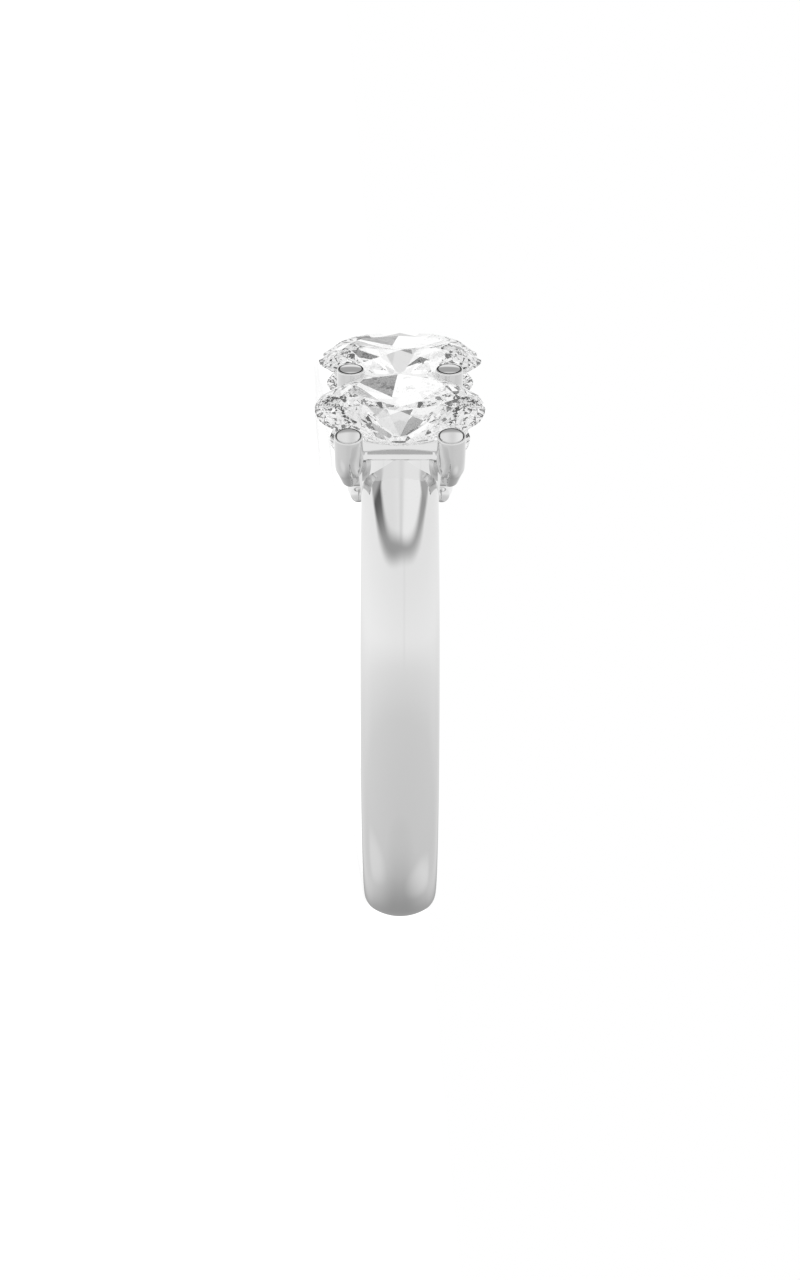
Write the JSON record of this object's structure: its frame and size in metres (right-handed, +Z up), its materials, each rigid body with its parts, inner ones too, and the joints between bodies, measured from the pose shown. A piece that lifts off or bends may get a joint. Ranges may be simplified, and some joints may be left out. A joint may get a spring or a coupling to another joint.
{
  "type": "five-stone ring",
  "caption": "Finger ring with a row of oval stones in shared round prongs on a domed white metal band, lying on its side.",
  "frame": {"origin": "middle of the lying ring's box, on the surface that it rests on", "axes": "+Z up from that surface, nearly along the finger; -Y towards the row of stones; +X towards the end of the row that the picture shows nearest"},
  "size_m": [0.021, 0.0226, 0.0062],
  "materials": {
    "white_gold": "high polish, rhodium plated white gold",
    "diamond": "clear colourless stone, flat polished facets"
  },
  "bodies": {
    "root": {"ring_mount": "white_gold", "stone_1": "diamond", "stone_2": "diamond", "stone_3": "diamond", "stone_4": "diamond", "stone_5": "diamond"}
  },
  "joints": []
}
